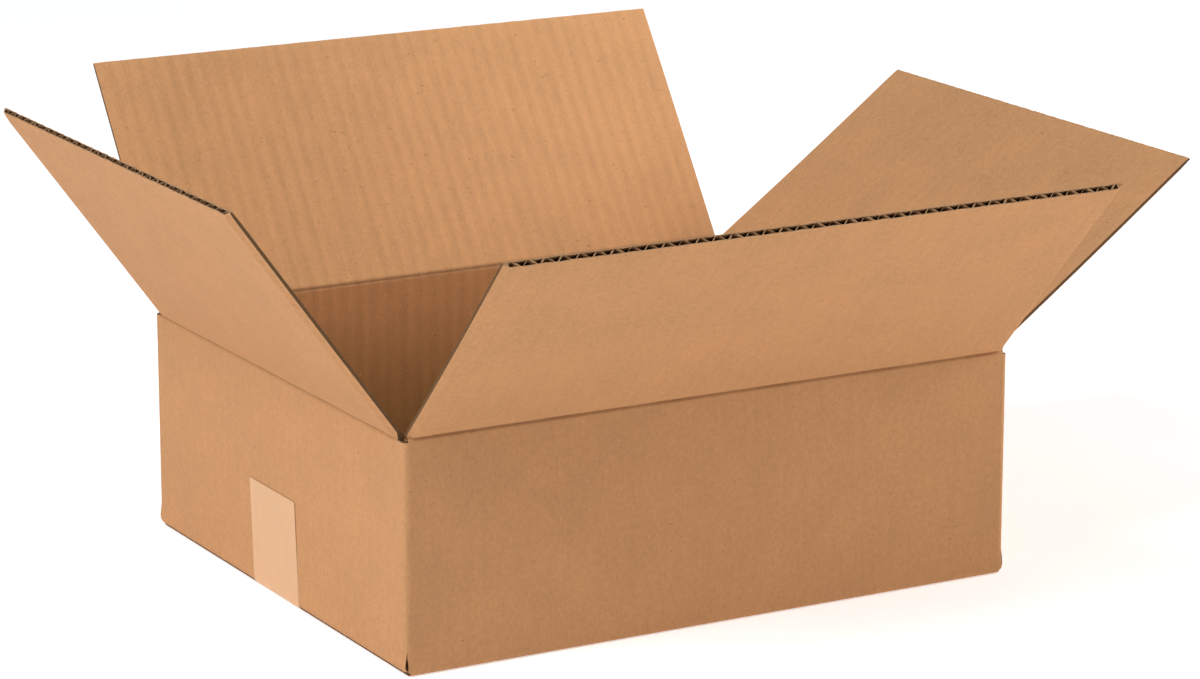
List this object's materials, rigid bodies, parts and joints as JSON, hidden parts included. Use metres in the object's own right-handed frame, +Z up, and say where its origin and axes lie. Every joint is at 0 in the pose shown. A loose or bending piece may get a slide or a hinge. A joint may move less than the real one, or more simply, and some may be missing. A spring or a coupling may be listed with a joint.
{
  "type": "open cardboard carton",
  "caption": "Open shallow corrugated cardboard carton with creased top flaps leaning outward, a folded bottom and one strip of packing tape along the base seam.",
  "frame": {"origin": "centre of the base, on the surface it stands on", "axes": "+Z up out of the open top, +X along the long side, -Y towards the front long wall"},
  "size_m": [0.4982, 0.4284, 0.216],
  "materials": {
    "kraft_board": "matt brown kraft paper over corrugated board, solid in this model",
    "fluted_flap": "matt brown kraft paper facings with open flutes between them",
    "packing_tape": "matt light tan tape"
  },
  "bodies": {
    "carton": {"carton": "kraft_board", "bottom_tape": "packing_tape"},
    "front_flap": {"front_flap": "fluted_flap"},
    "back_flap": {"back_flap": "fluted_flap"},
    "left_flap": {"left_flap": "fluted_flap"},
    "right_flap": {"right_flap": "fluted_flap"}
  },
  "joints": [
    {"name": "front_flap_fold", "type": "hinge", "parent": "carton", "child": "front_flap", "pos_m": [0, -0.1305, 0.1084], "axis": [1, 0, 0], "range_deg": [-133.5, 66.5]},
    {"name": "back_flap_fold", "type": "hinge", "parent": "carton", "child": "back_flap", "pos_m": [0, 0.1305, 0.1084], "axis": [-1, 0, 0], "range_deg": [-125.1, 74.9]},
    {"name": "left_flap_fold", "type": "hinge", "parent": "carton", "child": "left_flap", "pos_m": [-0.1565, 0, 0.1062], "axis": [0, -1, 0], "range_deg": [-126.1, 73.9]},
    {"name": "right_flap_fold", "type": "hinge", "parent": "carton", "child": "right_flap", "pos_m": [0.1565, 0, 0.1062], "axis": [0, 1, 0], "range_deg": [-144.1, 55.9]}
  ]
}
